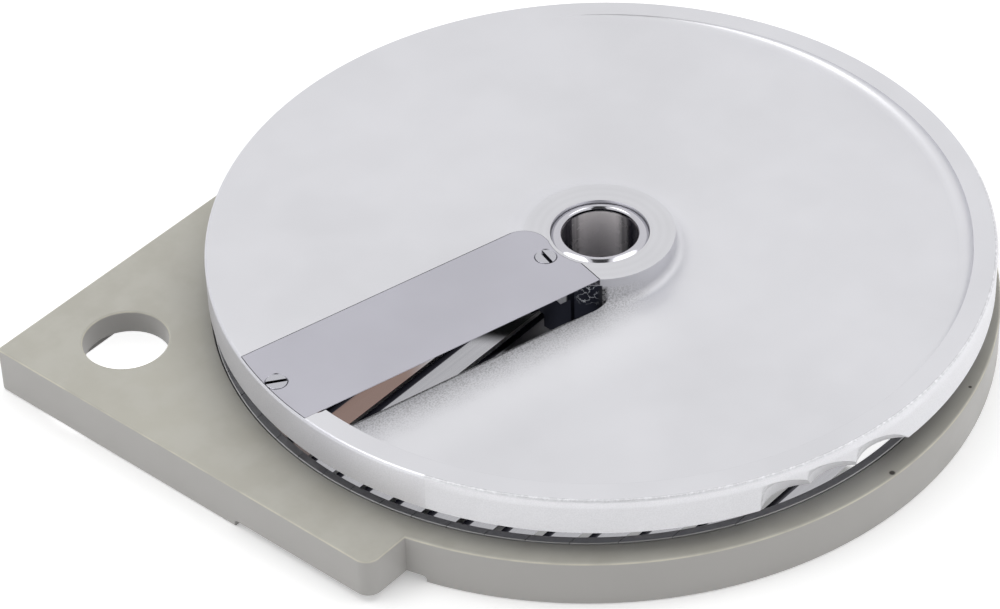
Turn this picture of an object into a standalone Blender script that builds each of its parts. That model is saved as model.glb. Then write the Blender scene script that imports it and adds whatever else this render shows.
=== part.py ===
"""French fry cutting disc: a slicing disc that rests by its hub on a grid of parallel knives.

The grid is a plastic plate with a round opening and a hollow tab with a finger hole. A steel ring stands in
the opening on a ledge, and straight knives stand in the ring's slots. The aluminium disc carries a
flat screwed-on blade. Its top is a helical ramp that falls away from the blade's back, round the hub,
to the throat under the cutting edge, so each turn lets the food sink by one slice.

Lengths are metres and angles are radians. The grid plate's knives lie along X and its tab points to -X.
Disc pieces are modelled about the disc's own axis, with z = 0 at its top face, the blade along -X and
the cutting edge towards -Y. The empty disc_axis then turns and lifts them onto the grid.
"""

import math

import bmesh
import bpy
from mathutils import Matrix, Vector

mm = 0.001
degree = math.radians(1)

# Clearances
seat_gap = 0.3 * mm
screw_clearance = 0.15 * mm

# Slicing disc
disc_diameter = 205 * mm
rim_height = 10.4 * mm
rim_land_width = 6.3 * mm
rim_skirt_width = 7.5 * mm
rim_chamfer = 0.9 * mm
slice_thickness = 8.7 * mm
ramp_turn = 235 * degree
ramp_wall = 2.6 * mm
rim_fillet = 3.8 * mm
lip_jump = 1 * degree
hub_length = 19.9 * mm
boss_wall = 6.7 * mm
boss_fillet = 2.4 * mm
hub_wall = 7.5 * mm
drive_slot_width = 6 * mm
drive_slot_height = 4 * mm

# Finger scallops in the rim
scallop_count = 3
scallop_start = -103.8 * degree
scallop_pitch = 8.15 * degree
scallop_span = 10.4 * degree
scallop_depth = 4.5 * mm
scallop_top = 2.5 * mm
scallop_fade = 0.4
scallop_levels = (1, 0.7, 0.4, 0.12)

# Hub bush
bore_diameter = 20 * mm
bush_wall = 2.7 * mm
bush_lip_round = 0.9 * mm
bush_edge_width = 1.5 * mm
bush_edge_height = 0.7 * mm

# Blade, its seat in the disc and its two screws
blade_width = 29 * mm
blade_thickness = 1.7 * mm
blade_edge_inset = 3.9 * mm
blade_end_inset = 1.6 * mm
blade_hub_overlap = 1.4 * mm
blade_bush_margin = 0.9 * mm
blade_neck_height = 1.6 * mm
blade_neck_length = 1.4 * mm
blade_bevel = 3.5 * mm
blade_edge_height = 0.2 * mm
seat_setback = 4.8 * mm
seat_slope = 4.0 * mm
seat_height = 7.0 * mm
seat_back_margin = 3.0 * mm
screw_head_diameter = 5.8 * mm
screw_shank_diameter = 3 * mm
screw_length = 8 * mm
screw_slot_width = 0.8 * mm
screw_slot_depth = 0.8 * mm
outer_screw_inset = 2.9 * mm
inner_screw_inset = 5.6 * mm
outer_slot_angle = -22.5 * degree
inner_slot_angle = -94.8 * degree

# Throat between the ramp's lip and the cutting edge
throat_gap = 0.5 * mm
throat_end_wall = 4.1 * mm
throat_corner_radius = 2.2 * mm
throat_boss_cut = 0.1 * mm
throat_flare = 0.8 * mm
throat_flare_length = 14 * mm

# Grid plate
plate_diameter = 213.2 * mm
plate_thickness = 13.5 * mm
plate_chamfer = 0.7 * mm
tab_overhang = 10.1 * mm
tab_far_inset = 3.8 * mm
tab_near_side = -26.3 * mm
tab_near_corner_radius = 4.0 * mm
tab_far_corner_radius = 1.2 * mm
finger_hole_diameter = 22.4 * mm
finger_hole_inset = 23.6 * mm
tab_top_thickness = 7.1 * mm
tab_skirt = 7.4 * mm
tab_hollow_corner_radius = 3.0 * mm
tab_hollow_end_width = 6.0 * mm
groove_depth = 2.3 * mm
groove_near_side = -31.5 * mm
groove_far_side = 19.2 * mm
groove_corner_radius = 1.2 * mm

# Knife ring and knives
plate_wall = 7.0 * mm
ring_wall = 1.8 * mm
ring_foot = 2.8 * mm
ring_ledge_width = 1.4 * mm
knife_pitch = 9.05 * mm
knife_side_margin = 5 * mm
knife_thickness = 1.0 * mm
knife_recess = 3.4 * mm
knife_height = 9.5 * mm
knife_tab_height = 5 * mm
knife_edge_height = 1.6 * mm
knife_edge_thickness = 0.14 * mm

# Where the loose disc lies on the grid
disc_turn = -14.8 * degree
disc_shift = Vector((1.6 * mm, -1.9 * mm, 0))

# Facets
disc_facets = 120
fillet_steps = 4
scallop_steps = 10
ring_facets = 112
small_facets = 40
corner_steps = 5

# Sizes that follow from those above
over = 5 * mm
flatness = 0.01 * degree
disc_radius = disc_diameter / 2
rim_inner_radius = disc_radius - rim_land_width
skirt_inner_radius = disc_radius - rim_skirt_width
bore_radius = bore_diameter / 2
bush_radius = bore_radius + bush_wall
bush_seat_radius = bush_radius + seat_gap
boss_radius = bush_seat_radius + boss_wall
hub_radius = bush_seat_radius + hub_wall
throat_boss_radius = boss_radius - throat_boss_cut
blade_lead = boss_radius - blade_edge_inset
blade_back = blade_lead - blade_width
blade_outer_end = disc_radius - blade_end_inset
blade_inner_end = bush_seat_radius - blade_hub_overlap
blade_neck = blade_inner_end + blade_neck_length
blade_arc_radius = bush_seat_radius + blade_bush_margin
blade_hollow_end = math.sqrt(blade_arc_radius ** 2 - blade_neck ** 2)
blade_corner_radius = -blade_back - blade_hollow_end - blade_neck_height
outer_screw_distance = blade_outer_end - outer_screw_inset
inner_screw_distance = blade_inner_end + inner_screw_inset
seat_front = blade_lead - seat_setback
lip_line = blade_lead + throat_gap
throat_outer_end = disc_radius - throat_end_wall
plate_radius = plate_diameter / 2
plate_bore_radius = plate_radius - plate_wall
plate_axis_x = tab_overhang / 2
tab_reach = plate_radius + tab_overhang
tab_far_side = plate_radius - tab_far_inset
tab_hollow_height = plate_thickness - tab_top_thickness
ring_outer_radius = plate_bore_radius - seat_gap
ring_inner_radius = ring_outer_radius - ring_wall
knife_top = plate_thickness - knife_recess
knife_bottom = knife_top - knife_height
knife_tab_bottom = knife_top - knife_tab_height
knife_pairs = int((ring_inner_radius - knife_side_margin) / knife_pitch + 0.5)
slot_bottom = knife_tab_bottom - seat_gap
ring_bottom = slot_bottom - ring_foot
disc_top = knife_top + seat_gap + hub_length


def clear_scene():
    """Removes what the file held before."""
    for thing in list(bpy.data.objects):
        bpy.data.objects.remove(thing, do_unlink=True)


def material(name, colour, roughness, metallic):
    """A Principled material with one colour."""
    made = bpy.data.materials.new(name)
    made.use_nodes = True
    shader = made.node_tree.nodes["Principled BSDF"]
    shader.inputs["Base Color"].default_value = (*colour, 1)
    shader.inputs["Roughness"].default_value = roughness
    shader.inputs["Metallic"].default_value = metallic
    made.diffuse_color = (*colour, 1)
    return made


def new_object(name, mesh_builder, parent=None, surface=None):
    """Turns a bmesh into a named object, with flat faces turned outwards."""
    bmesh.ops.recalc_face_normals(mesh_builder, faces=mesh_builder.faces)
    bmesh.ops.connect_verts_nonplanar(mesh_builder, faces=mesh_builder.faces, angle_limit=flatness)
    mesh = bpy.data.meshes.new(name)
    mesh_builder.to_mesh(mesh)
    mesh_builder.free()
    made = bpy.data.objects.new(name, mesh)
    bpy.context.scene.collection.objects.link(made)
    made.parent = parent
    if surface is not None:
        mesh.materials.append(surface)
    return made


def cutter(name, mesh_builder, parent=None):
    """An object that only cuts or adds to others and is not a piece itself."""
    made = new_object(name, mesh_builder, parent)
    made.display_type = "WIRE"
    made.hide_render = True
    return made


def combine(target, tool, operation="DIFFERENCE"):
    """Adds a Boolean modifier that cuts the tool from the target, or adds it."""
    modifier = target.modifiers.new(tool.name, "BOOLEAN")
    modifier.operation = operation
    modifier.solver = "EXACT"
    modifier.object = tool


def arc(centre, radius, start, end, steps):
    """Points of a circular arc, both ends included."""
    return [
        (
            centre[0] + radius * math.cos(start + (end - start) * step / steps),
            centre[1] + radius * math.sin(start + (end - start) * step / steps),
        )
        for step in range(steps + 1)
    ]


def stack(layers):
    """A closed solid from outlines of the same length at rising heights, each a list of (x, y) and a z."""
    builder = bmesh.new()
    rings = [[builder.verts.new((x, y, z)) for x, y in outline] for outline, z in layers]
    for low, high in zip(rings, rings[1:]):
        for index in range(len(low)):
            following = (index + 1) % len(low)
            builder.faces.new((low[index], low[following], high[following], high[index]))
    builder.faces.new(rings[0])
    builder.faces.new(rings[-1])
    return builder


def lathe(profile, facets):
    """A closed ring turned about Z from a closed profile of (radius, z) points off the axis."""
    builder = bmesh.new()
    rings = []
    for step in range(facets):
        turn = math.tau * step / facets
        rings.append([
            builder.verts.new((radius * math.cos(turn), radius * math.sin(turn), z))
            for radius, z in profile
        ])
    for step in range(facets):
        near = rings[step]
        far = rings[(step + 1) % facets]
        for index in range(len(profile)):
            following = (index + 1) % len(profile)
            builder.faces.new((near[index], near[following], far[following], far[index]))
    return builder


def turned_plug(profile, facets):
    """A closed solid turned about Z from (radius, z) points that rise from the bottom to the top."""
    return stack([(arc((0, 0), radius, 0, math.tau * (facets - 1) / facets, facets - 1), z)
                  for radius, z in profile])


def box(size, centre):
    """A rectangular block."""
    builder = bmesh.new()
    bmesh.ops.create_cube(builder, size=1)
    bmesh.ops.transform(
        builder,
        matrix=Matrix.Translation(centre) @ Matrix.Diagonal((*size, 1)),
        verts=builder.verts,
    )
    return builder


# Slicing disc


def ramp_depth(sweep):
    """How far the ramp lies below the top: one slice at the lip, nothing after ramp_turn."""
    return slice_thickness * max(0.0, 1 - sweep / ramp_turn)


def fillet(wall_radius, floor, size, outward):
    """Points of the round between a wall and the ramp's floor, from the wall down to the floor."""
    height = min(size, -floor)
    points = []
    for step in range(fillet_steps + 1):
        turn = math.pi / 2 * step / fillet_steps
        radius = wall_radius + outward * size * (1 - math.cos(turn))
        points.append((radius, floor + height * (1 - math.sin(turn))))
    return points


def disc_section(sweep):
    """The disc's closed section at one sweep angle from the lip, as (radius, z) points."""
    floor = -ramp_depth(sweep)
    underside = floor - ramp_wall
    boss_side = fillet(boss_radius, floor, boss_fillet, 1)
    rim_side = fillet(rim_inner_radius, floor, rim_fillet, -1)
    return (
        [(bush_seat_radius, -hub_length), (bush_seat_radius, 0), (boss_radius, 0)]
        + boss_side
        + rim_side[::-1]
        + [
            (rim_inner_radius, 0),
            (disc_radius - rim_chamfer, 0),
            (disc_radius, -rim_chamfer),
            (disc_radius, -rim_height),
            (skirt_inner_radius, -rim_height),
            (skirt_inner_radius, underside),
            (hub_radius, underside),
            (hub_radius, -hub_length),
        ]
    )


def helical_disc():
    """The disc without its cuts. Each section lies on a line that just touches a circle as wide as the
    blade's lead, so the ramp's lip comes out parallel to the cutting edge."""
    builder = bmesh.new()
    sweeps = [math.tau * step / disc_facets for step in range(disc_facets)]
    sweeps.append(math.tau - lip_jump)
    rings = []
    for sweep in sweeps:
        ring = []
        for radius, z in disc_section(sweep):
            turn = math.pi + math.asin(blade_lead / max(radius, hub_radius)) + sweep
            ring.append(builder.verts.new((radius * math.cos(turn), radius * math.sin(turn), z)))
        rings.append(ring)
    for near, far in zip(rings, rings[1:] + rings[:1]):
        for index in range(len(near)):
            following = (index + 1) % len(near)
            builder.faces.new((near[index], near[following], far[following], far[index]))
    return builder


def blade_outline(grow=0.0):
    """The blade seen from above. Its inner end is hollowed round the bush, with one round corner."""
    front = -blade_lead - grow
    back = -blade_back + grow
    outer = -blade_outer_end - grow
    inner = -blade_inner_end + grow
    neck = -blade_neck + grow
    hollow = blade_arc_radius - grow
    corner = blade_corner_radius + grow
    hollow_start = math.pi + math.acos(-inner / hollow)
    hollow_end = math.pi - math.acos(-neck / hollow)
    corner_centre = (neck - corner, back - corner)
    return (
        [(outer, front), (inner, front)]
        + arc((0, 0), hollow, hollow_start, hollow_end, 8)
        + arc(corner_centre, corner, 0, math.pi / 2, 6)
        + [(outer, back)]
    )


def throat_outline():
    """The throat seen from above: from the ramp's lip to the blade's seat, round the boss, where it flares."""
    corner = throat_corner_radius
    outer = -throat_outer_end
    lip_turn = math.pi + math.asin((lip_line + throat_flare) / throat_boss_radius)
    seat_turn = math.pi + math.asin(seat_front / throat_boss_radius)
    return (
        arc((outer + corner, corner - lip_line), corner, -math.pi, -math.pi / 2, corner_steps)
        + [(-boss_radius / 2 - throat_flare_length, -lip_line)]
        + arc((0, 0), throat_boss_radius, lip_turn, seat_turn, corner_steps)
        + arc((outer + corner, -seat_front - corner), corner, math.pi / 2, math.pi, corner_steps)
    )


def seat_slope_cutter():
    """The wedge under the blade's seat that lets a slice pass down and back."""
    outer = -throat_outer_end
    inner = -hub_radius
    top = -blade_thickness - seat_gap
    low = -hub_length - over
    run = (low - top) / (-seat_height - top) * seat_slope
    near = -seat_front
    builder = bmesh.new()
    ends = []
    for x in (outer, inner):
        ends.append([builder.verts.new((x, y, z)) for y, z in ((near - over, top), (near, top),
                                                               (near + run, low), (near - over, low))])
    for index in range(4):
        following = (index + 1) % 4
        builder.faces.new((ends[0][index], ends[0][following], ends[1][following], ends[1][index]))
    builder.faces.new(ends[0])
    builder.faces.new(ends[1])
    return builder


def scallop_outline(span, depth):
    """One scallop seen from above: a hollow that starts at angle 0 on the rim and spans so much of it."""
    start = Vector((disc_radius, 0))
    end = Vector((disc_radius * math.cos(span), disc_radius * math.sin(span)))
    chord = (end - start).length
    sagitta = depth - disc_radius * (1 - math.cos(span / 2))
    radius = (chord ** 2 / 4 + sagitta ** 2) / (2 * sagitta)
    outward = ((start + end) / 2).normalized()
    centre = (start + end) / 2 + outward * (radius - sagitta)
    half = math.asin(chord / 2 / radius)
    facing = span / 2 + math.pi
    far = 1 + over / disc_radius
    return arc(centre, radius, facing + half, facing - half, scallop_steps) + [tuple(end * far), tuple(start * far)]


def scallop_cutters(parent):
    """Hollows in the rim's lower half that fingers lift the disc by. Each has one sharp upright edge,
    and its slanted face grows from nothing at the top to the full span and depth below the rim."""
    height = rim_height - scallop_top
    below = 1 + over / height
    cutters = []
    for number in range(scallop_count):
        layers = []
        for share in (below, *scallop_levels):
            outline = scallop_outline(scallop_span * share ** scallop_fade, scallop_depth * share)
            layers.append((outline, -scallop_top - height * share))
        plug = stack(layers)
        turn = Matrix.Rotation(scallop_start + number * scallop_pitch, 3, "Z")
        bmesh.ops.rotate(plug, matrix=turn, verts=plug.verts)
        cutters.append(cutter(f"scallop_cut_{number + 1}", plug, parent))
    return cutters


def screw_hole(name, distance, parent):
    """The tapped hole in the disc below one blade screw."""
    radius = screw_shank_diameter / 2 + screw_clearance
    plug = turned_plug([(radius, -screw_length - seat_gap), (radius, over)], small_facets // 2)
    bmesh.ops.translate(plug, vec=(-distance, 0, 0), verts=plug.verts)
    return cutter(name, plug, parent)


def make_disc(parent, surface):
    """The cast and turned disc, from its helical blank and its cuts."""
    disc = new_object("slicing_disc", helical_disc(), parent, surface)
    seat_far = -blade_back + seat_back_margin
    seat_near = -seat_front
    seat_outer = -(skirt_inner_radius + disc_radius) / 2
    seat_inner = -(bush_seat_radius + hub_radius) / 2
    bar_top = -ramp_wall / 2
    seat_bar = box(
        (seat_inner - seat_outer, seat_far - seat_near, seat_height + bar_top),
        ((seat_inner + seat_outer) / 2, (seat_far + seat_near) / 2, (bar_top - seat_height) / 2),
    )
    combine(disc, cutter("blade_seat_bar", seat_bar, parent), "UNION")
    throat = stack([(throat_outline(), -hub_length - over), (throat_outline(), over)])
    combine(disc, cutter("throat_cut", throat, parent))
    combine(disc, cutter("seat_slope_cut", seat_slope_cutter(), parent))
    pocket_floor = -blade_thickness - seat_gap
    pocket = stack([(blade_outline(seat_gap), pocket_floor), (blade_outline(seat_gap), over)])
    combine(disc, cutter("blade_pocket_cut", pocket, parent))
    for name, distance in (("outer_hole_cut", outer_screw_distance), ("inner_hole_cut", inner_screw_distance)):
        combine(disc, screw_hole(name, distance, parent))
    for scallop in scallop_cutters(parent):
        combine(disc, scallop)
    slot_size = (2 * hub_radius + over, drive_slot_width, drive_slot_height + over)
    slot_centre = (0, 0, drive_slot_height - hub_length - slot_size[2] / 2)
    combine(disc, cutter("drive_slot_cut", box(slot_size, slot_centre), parent))
    return disc


def make_bush(parent, surface):
    """The steel bush in the hub, rounded into its bore and falling away towards its outer edge."""
    lip_steps = 5
    lip = []
    for step in range(lip_steps + 1):
        turn = math.pi / 2 * step / lip_steps
        lip.append((
            bore_radius + bush_lip_round * (1 - math.cos(turn)),
            bush_lip_round * (math.sin(turn) - 1),
        ))
    profile = [(bore_radius, -hub_length)] + lip + [
        (bush_radius - bush_edge_width, 0),
        (bush_radius, -bush_edge_height),
        (bush_radius, -hub_length),
    ]
    return new_object("hub_bush", lathe(profile, small_facets + 8), parent, surface)


def countersink(head_radius, shank_radius, bottom):
    """Rising (radius, z) points of a shank under a 90 degree head, cut level with z = 0."""
    cone = head_radius - shank_radius
    return [(shank_radius, bottom), (shank_radius, -cone), (head_radius, 0)]


def make_blade(parent, surface):
    """The flat blade, ground from below along its cutting edge, with two countersunk holes."""
    outline = blade_outline()
    ground = [(x, y + blade_bevel) if y == -blade_lead else (x, y) for x, y in outline]
    layers = [(ground, -blade_thickness), (outline, -blade_edge_height), (outline, 0)]
    blade = new_object("slicing_blade", stack(layers), parent, surface)
    head = screw_head_diameter / 2 + screw_clearance
    shank = screw_shank_diameter / 2 + screw_clearance
    for name, distance in (("outer_sink_cut", outer_screw_distance), ("inner_sink_cut", inner_screw_distance)):
        profile = countersink(head, shank, -over) + [(head + over, over)]
        plug = turned_plug(profile, small_facets // 2)
        bmesh.ops.translate(plug, vec=(-distance, 0, 0), verts=plug.verts)
        combine(blade, cutter(name, plug, parent))
    return blade


def make_screw(name, distance, slot_angle, parent, surface):
    """One slotted countersunk screw, turned about its own axis."""
    head = screw_head_diameter / 2
    profile = countersink(head, screw_shank_diameter / 2, -screw_length)
    screw = new_object(name, turned_plug(profile, small_facets // 2), parent, surface)
    screw.location = (-distance, 0, 0)
    slot = cutter(name + "_slot_cut", box((4 * head, screw_slot_width, 2 * screw_slot_depth), (0, 0, 0)), parent)
    slot.location = screw.location
    slot.rotation_euler = (0, 0, slot_angle)
    combine(screw, slot)
    return screw


# Knife grid


def plate_outline():
    """The plate seen from above: a round plate with a square-cut tab towards -X."""
    reach = -tab_reach
    near_join = math.asin(tab_near_side / plate_radius)
    far_join = math.asin(tab_far_side / plate_radius)
    near_corner = (reach + tab_near_corner_radius, tab_near_side + tab_near_corner_radius)
    far_corner = (reach + tab_far_corner_radius, tab_far_side - tab_far_corner_radius)
    rim = arc((0, 0), plate_radius, -math.pi - near_join, math.pi - far_join, ring_facets)
    return (
        rim
        + arc(far_corner, tab_far_corner_radius, math.pi / 2, math.pi, 3)
        + arc(near_corner, tab_near_corner_radius, math.pi, 1.5 * math.pi, 6)
    )


def tab_hollow_outline():
    """The hollow under the tab's corner seen from above, between the round plate and the tab's walls."""
    left = tab_skirt - tab_reach
    far = tab_far_side - tab_skirt
    near = groove_far_side + tab_skirt
    near_join = math.pi - math.asin(near / plate_radius)
    far_join = math.pi - math.asin((far - tab_hollow_end_width) / plate_radius)
    round_wall = arc((0, 0), plate_radius, near_join, far_join, ring_facets // 8)
    radius = tab_hollow_corner_radius
    return (
        round_wall
        + [(round_wall[-1][0], far)]
        + arc((left + radius, far - radius), radius, math.pi / 2, math.pi, 6)
        + arc((left + radius, near + radius), radius, math.pi, 1.5 * math.pi, 6)
    )


def groove_cutter():
    """The shallow groove across the plate's underside, with round corners, open towards -X."""
    radius = groove_corner_radius
    section = (
        [(groove_near_side, -over)]
        + arc((groove_near_side + radius, groove_depth - radius), radius, math.pi, math.pi / 2, 4)
        + arc((groove_far_side - radius, groove_depth - radius), radius, math.pi / 2, 0, 4)
        + [(groove_far_side, -over)]
    )
    builder = bmesh.new()
    ends = [[builder.verts.new((x, y, z)) for y, z in section] for x in (-tab_reach - over, 0)]
    for index in range(len(section)):
        following = (index + 1) % len(section)
        builder.faces.new((ends[0][index], ends[0][following], ends[1][following], ends[1][index]))
    builder.faces.new(ends[0])
    builder.faces.new(ends[1])
    return builder


def make_plate(parent, surface):
    """The plastic plate, with its opening, the ledge for the ring, the hollow tab, its finger hole and
    the groove."""
    outline = plate_outline()
    plate = new_object("grid_plate", stack([(outline, 0), (outline, plate_thickness)]), parent, surface)
    edges = plate.modifiers.new("edge_chamfer", "BEVEL")
    edges.width = plate_chamfer
    edges.segments = 1
    edges.limit_method = "ANGLE"
    edges.angle_limit = 50 * degree
    ledge_radius = plate_bore_radius - ring_ledge_width
    ledge_top = ring_bottom - seat_gap
    opening = turned_plug(
        [
            (ledge_radius, -over),
            (ledge_radius, ledge_top),
            (plate_bore_radius, ledge_top),
            (plate_bore_radius, plate_thickness - seat_gap),
            (plate_bore_radius + seat_gap + over, plate_thickness + over),
        ],
        ring_facets,
    )
    combine(plate, cutter("opening_cut", opening, parent))
    hollow = stack([(tab_hollow_outline(), -over), (tab_hollow_outline(), tab_hollow_height)])
    combine(plate, cutter("tab_hollow_cut", hollow, parent))
    hole_radius = finger_hole_diameter / 2
    flare = plate_chamfer + over
    hole = turned_plug(
        [
            (hole_radius + flare, tab_hollow_height - over),
            (hole_radius, tab_hollow_height + plate_chamfer),
            (hole_radius, plate_thickness - plate_chamfer),
            (hole_radius + flare, plate_thickness + over),
        ],
        small_facets + 8,
    )
    hole_centre = (finger_hole_inset - tab_reach, tab_far_side - finger_hole_inset, 0)
    bmesh.ops.translate(hole, vec=hole_centre, verts=hole.verts)
    combine(plate, cutter("finger_hole_cut", hole, parent))
    combine(plate, cutter("groove_cut", groove_cutter(), parent))
    return plate


def knife_offsets():
    """Where each knife stands, across the grid, with a gap in the middle."""
    return [(number + 0.5) * knife_pitch for number in range(-knife_pairs, knife_pairs)]


def make_ring(parent, surface):
    """The steel ring that the knives stand in, slotted from above."""
    profile = [
        (ring_inner_radius, ring_bottom),
        (ring_inner_radius, plate_thickness),
        (ring_outer_radius, plate_thickness),
        (ring_outer_radius, ring_bottom),
    ]
    ring = new_object("knife_ring", lathe(profile, ring_facets), parent, surface)
    slots = bmesh.new()
    slot_height = plate_thickness - slot_bottom + over
    for offset in knife_offsets():
        before = set(slots.verts)
        bmesh.ops.create_cube(slots, size=1)
        fresh = [vertex for vertex in slots.verts if vertex not in before]
        size = (2 * plate_radius, knife_thickness + 2 * seat_gap, slot_height)
        centre = (0, offset, slot_bottom + slot_height / 2)
        bmesh.ops.transform(slots, matrix=Matrix.Translation(centre) @ Matrix.Diagonal((*size, 1)), verts=fresh)
    combine(ring, cutter("knife_slot_cuts", slots, parent))
    return ring


def make_knife(number, offset, parent, surface):
    """One straight knife, ground from both sides to its upper edge. It hangs by a tab at each end in the ring's
    slots, and below the tabs it ends just inside the ring."""
    side = knife_thickness / 2
    edge = knife_edge_thickness / 2
    furthest = abs(offset) + side
    tab_end = math.sqrt((ring_outer_radius - seat_gap) ** 2 - furthest ** 2)
    foot_end = math.sqrt((ring_inner_radius - seat_gap) ** 2 - furthest ** 2)

    def outline(top):
        return [
            (-tab_end, top),
            (-tab_end, knife_tab_bottom),
            (-foot_end, knife_tab_bottom),
            (-foot_end, knife_bottom),
            (foot_end, knife_bottom),
            (foot_end, knife_tab_bottom),
            (tab_end, knife_tab_bottom),
            (tab_end, top),
        ]

    flank = outline(knife_top - knife_edge_height)
    ridge = outline(knife_top)
    builder = stack([(flank, -side), (ridge, -edge), (ridge, edge), (flank, side)])
    bmesh.ops.rotate(builder, verts=builder.verts, matrix=Matrix.Rotation(math.pi / 2, 3, "X"))
    knife = new_object(f"knife_{number:02d}", builder, parent, surface)
    knife.location = (0, offset, 0)
    return knife


def axis(name, location, turn=0.0):
    """An empty that pieces are placed by."""
    made = bpy.data.objects.new(name, None)
    bpy.context.scene.collection.objects.link(made)
    made.location = location
    made.rotation_euler = (0, 0, turn)
    return made


def build():
    """Makes every piece in its place."""
    clear_scene()
    aluminium = material("turned aluminium", (0.66, 0.66, 0.69), 0.38, 1.0)
    blade_steel = material("ground blade steel", (0.46, 0.46, 0.51), 0.24, 1.0)
    bush_steel = material("polished bush steel", (0.60, 0.59, 0.62), 0.12, 1.0)
    knife_steel = material("knife steel", (0.52, 0.52, 0.54), 0.22, 1.0)
    ring_steel = material("dull ring steel", (0.10, 0.10, 0.10), 0.45, 0.9)
    plastic = material("grey plastic", (0.41, 0.39, 0.33), 0.45, 0.0)

    grid_axis = axis("grid_axis", (plate_axis_x, 0, 0))
    make_plate(grid_axis, plastic)
    make_ring(grid_axis, ring_steel)
    for index, offset in enumerate(knife_offsets()):
        make_knife(index + 1, offset, grid_axis, knife_steel)

    disc_place = Vector((plate_axis_x, 0, disc_top)) + disc_shift
    disc_axis = axis("disc_axis", disc_place, disc_turn)
    make_disc(disc_axis, aluminium)
    make_bush(disc_axis, bush_steel)
    make_blade(disc_axis, blade_steel)
    make_screw("blade_screw_outer", outer_screw_distance, outer_slot_angle, disc_axis, blade_steel)
    make_screw("blade_screw_inner", inner_screw_distance, inner_slot_angle, disc_axis, blade_steel)


build()
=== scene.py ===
"""Looks of a french fry cutting disc: a turned aluminium slicing disc on a grid of knives in a plastic plate.

The disc's own axis is disc_centre, turned by disc_turn, with its blade towards -X and the cutting edge towards
-Y. The plate's axis is plate_centre, with the knives along X. Lengths are metres and angles are radians.
"""

import math

import bpy
import numpy as np
from mathutils import Euler, Matrix, Vector


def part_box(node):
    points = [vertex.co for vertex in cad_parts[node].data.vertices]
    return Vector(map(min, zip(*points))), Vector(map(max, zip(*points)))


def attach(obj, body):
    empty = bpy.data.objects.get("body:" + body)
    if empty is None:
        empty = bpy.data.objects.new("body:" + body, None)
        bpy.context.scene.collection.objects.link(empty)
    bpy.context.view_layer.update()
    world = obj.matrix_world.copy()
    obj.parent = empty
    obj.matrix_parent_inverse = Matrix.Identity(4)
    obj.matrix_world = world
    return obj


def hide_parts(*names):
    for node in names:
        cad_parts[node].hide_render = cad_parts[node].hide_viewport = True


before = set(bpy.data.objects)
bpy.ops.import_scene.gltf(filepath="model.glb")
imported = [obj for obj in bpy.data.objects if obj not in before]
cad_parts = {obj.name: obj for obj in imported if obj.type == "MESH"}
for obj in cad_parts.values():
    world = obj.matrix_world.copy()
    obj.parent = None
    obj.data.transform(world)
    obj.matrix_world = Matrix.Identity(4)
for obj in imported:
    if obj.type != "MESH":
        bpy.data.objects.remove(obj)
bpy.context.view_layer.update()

mm = 0.001
degree = math.radians(1)
body = "root"
gap = 0.3 * mm
over = 5 * mm
sharp_angle = 32 * degree

# Places, read from the frame
bush_low, bush_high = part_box("hub_bush")
plate_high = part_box("grid_plate")[1]
ring_low, ring_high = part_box("knife_ring")
disc_low, disc_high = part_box("slicing_disc")
disc_centre = Vector(((bush_low[0] + bush_high[0]) / 2, (bush_low[1] + bush_high[1]) / 2, disc_high[2]))
plate_centre = Vector(((ring_low[0] + ring_high[0]) / 2, (ring_low[1] + ring_high[1]) / 2, 0))
disc_turn = -14.8 * degree

# Slicing disc, as in the part
disc_radius = 102.5 * mm
rim_height = 10.4 * mm
rim_inner_radius = disc_radius - 6.3 * mm
skirt_inner_radius = disc_radius - 7.5 * mm
rim_round = 0.9 * mm
slice_thickness = 8.7 * mm
ramp_turn = 235 * degree
ramp_wall = 2.6 * mm
rim_fillet = 3.8 * mm
fillet_step = 0.1 * mm
ramp_columns = 10
lip_jump = 1 * degree
bush_radius = 12.7 * mm
bush_seat_radius = bush_radius + gap
bush_fall = 0.85 * mm
bush_hole_radius = bush_radius + 0.12 * mm
hole_break = 0.15 * mm
bore_radius = 10 * mm
boss_radius = bush_seat_radius + 6.7 * mm
boss_fillet = 2.4 * mm
hub_radius = bush_seat_radius + 7.5 * mm
hub_length = disc_high[2] - disc_low[2]
drive_slot_width = 6 * mm
drive_slot_height = 4 * mm
bore_lit_turn = 56.6 * degree
cast_joint_turn = -150.5 * degree
boss_ring_pitch = 2.3 * mm
turning_pitch = 0.55 * mm
throat_boss_radius = boss_radius - fillet_step
scallop_starts = np.array((-103.8, -96.9, -88.6)) * degree
scallop_span = 10.4 * degree
scallop_depth = 4.5 * mm
scallop_top = 2.5 * mm
scallop_fade = 0.4

# Blade, its seat and screws, as in the part
blade_lead = boss_radius - 3.9 * mm
blade_back = blade_lead - 29 * mm
blade_thickness = 1.7 * mm
blade_bevel = 3.5 * mm
blade_edge_height = 0.2 * mm
blade_break = 0.12 * mm
blade_end_radius = disc_radius - 0.7 * mm
blade_gap = 0.08 * mm
blade_inner_end = bush_seat_radius - 1.4 * mm
blade_neck = blade_inner_end + 1.4 * mm
blade_arc_radius = bush_seat_radius + 0.9 * mm
blade_corner_radius = 6.7 * mm
seat_front = blade_lead - 4.8 * mm
seat_slope = 4.0 * mm
seat_height = 7.0 * mm
seat_back_margin = 3.0 * mm
lip_line = blade_lead + 0.5 * mm
throat_outer_end = disc_radius - 4.1 * mm
throat_corner_radius = 2.2 * mm
throat_flare = 0.8 * mm
throat_flare_length = 14 * mm
screw_head_radius = 2.9 * mm
screw_shank_radius = 1.5 * mm
screw_clearance = 0.15 * mm
screw_length = 8 * mm
screw_slot_width = 1.0 * mm
screw_slot_depth = 0.8 * mm
outer_screw = (disc_radius - 3.45 * mm, -22.5 * degree)
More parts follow.
